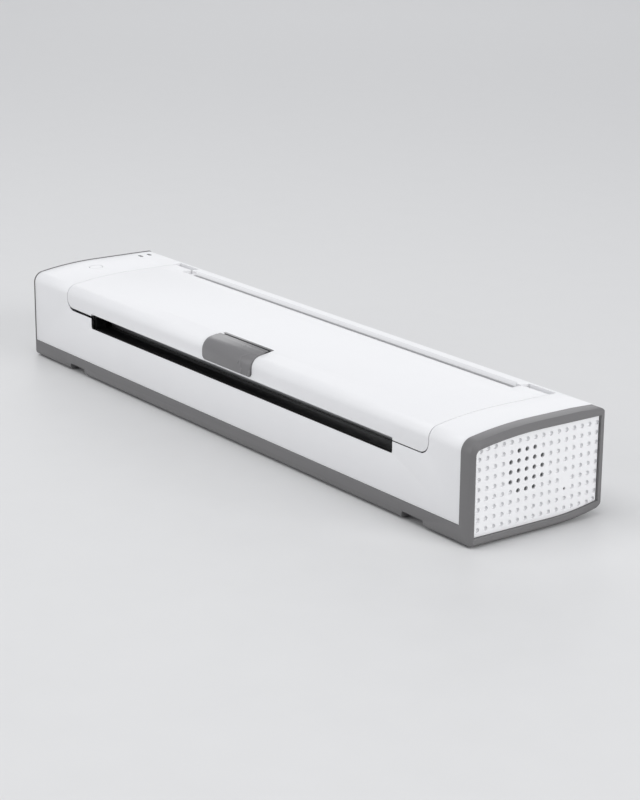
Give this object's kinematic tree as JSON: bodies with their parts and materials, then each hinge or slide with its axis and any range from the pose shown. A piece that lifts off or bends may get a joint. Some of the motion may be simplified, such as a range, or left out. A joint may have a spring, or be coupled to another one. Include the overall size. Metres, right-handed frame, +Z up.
{
  "type": "portable thermal printer",
  "caption": "Slim portable A4 thermal printer: white housing in a grey cradle, hinged top cover with roller, push latch and front paper slot.",
  "frame": {"origin": "on the standing surface, under the middle of the bounding box", "axes": "+X to the right end of the printer, the front with the paper slot faces -Y, +Z up"},
  "size_m": [0.31, 0.0636, 0.0415],
  "materials": {
    "white_plastic": "fine satin white moulded plastic",
    "grey_plastic": "matte mid-grey moulded plastic",
    "latch_grey": "satin grey moulded plastic",
    "black_plastic": "matte black moulded plastic",
    "gear_plastic": "natural acetal gears",
    "rubber": "black rubber",
    "platen_rubber": "ground dark grey silicone rubber",
    "steel": "zinc-plated steel",
    "aluminium": "extruded aluminium",
    "ceramic": "glazed ceramic heater strip",
    "circuit_board": "green solder mask",
    "battery_wrap": "blue heat-shrink sleeve",
    "lamp_window": "smoked light pipe"
  },
  "bodies": {
    "printer": {"base_cradle": "grey_plastic", "upper_housing": "white_plastic", "end_panel_right": "white_plastic", "end_panel_left": "white_plastic", "stepper_motor": "steel", "motor_plate": "steel", "gear_stud": "steel", "plate_spacers": "steel", "chassis_frame": "steel", "head_pivot_rod": "steel", "head_springs": "steel", "rear_paper_guide": "black_plastic", "front_paper_guide": "black_plastic", "hinge_pins": "steel", "main_board": "circuit_board", "usb_socket": "steel", "battery_pack": "battery_wrap", "key_board": "circuit_board", "tact_switch": "black_plastic", "light_pipes": "lamp_window", "side_board": "circuit_board", "buzzer": "black_plastic", "reset_switch": "black_plastic", "rubber_feet": "rubber", "case_screws": "steel", "chassis_screws": "steel", "board_screws": "steel", "motor_screws": "steel"},
    "lid": {"top_cover": "white_plastic", "lid_frame": "black_plastic", "latch_trim": "latch_grey", "platen_bushes": "gear_plastic", "latch_spring": "steel", "lid_screws": "steel"},
    "platen": {"platen_shaft": "steel", "platen_rubber": "platen_rubber", "platen_gear": "gear_plastic"},
    "idler": {"compound_gear": "gear_plastic"},
    "motor_rotor": {"motor_pinion": "steel", "motor_shaft": "steel"},
    "print_head": {"head_heatsink": "aluminium", "head_ceramic": "ceramic", "head_board": "circuit_board", "head_cover": "black_plastic"},
    "latch": {"latch_tab": "latch_grey", "latch_bar": "black_plastic"},
    "power_key": {"power_button": "white_plastic"}
  },
  "joints": [
    {"name": "cover_hinge", "type": "hinge", "parent": "printer", "child": "lid", "pos_m": [0.003, 0.0245, 0.0366], "axis": [-1, 0, 0], "range_deg": [0, 85]},
    {"name": "platen_spin", "type": "hinge", "parent": "lid", "child": "platen", "pos_m": [0.003, -0.015, 0.0322], "axis": [1, 0, 0], "continuous": true},
    {"name": "gear_spin", "type": "hinge", "parent": "printer", "child": "idler", "pos_m": [0.12, -0.01266, 0.02346], "axis": [1, 0, 0], "continuous": true},
    {"name": "motor_spin", "type": "hinge", "parent": "printer", "child": "motor_rotor", "pos_m": [0.123, -0.00137, 0.01691], "axis": [1, 0, 0], "continuous": true},
    {"name": "head_tilt", "type": "hinge", "parent": "printer", "child": "print_head", "pos_m": [0.003, 0.0045, 0.0224], "axis": [1, 0, 0], "range_deg": [0, 2.5], "stiffness_Nm_per_rad": 1.2, "springref_deg": -11.46, "deforming": ["head_springs"]},
    {"name": "latch_slide", "type": "slide", "parent": "lid", "child": "latch", "axis": [0, 1, 0], "range_m": [0, 0.0011], "stiffness_N_per_m": 400, "springref_m": -0.003, "deforming": ["latch_spring"]},
    {"name": "button_press", "type": "slide", "parent": "printer", "child": "power_key", "axis": [0, 0, -1], "range_m": [0, 0.0004], "stiffness_N_per_m": 800, "springref_m": -0.0006}
  ],
  "couplings": [
    {"joint": "gear_spin", "follows": "platen_spin", "ratio": -1.25},
    {"joint": "motor_spin", "follows": "platen_spin", "ratio": 4.1667}
  ]
}
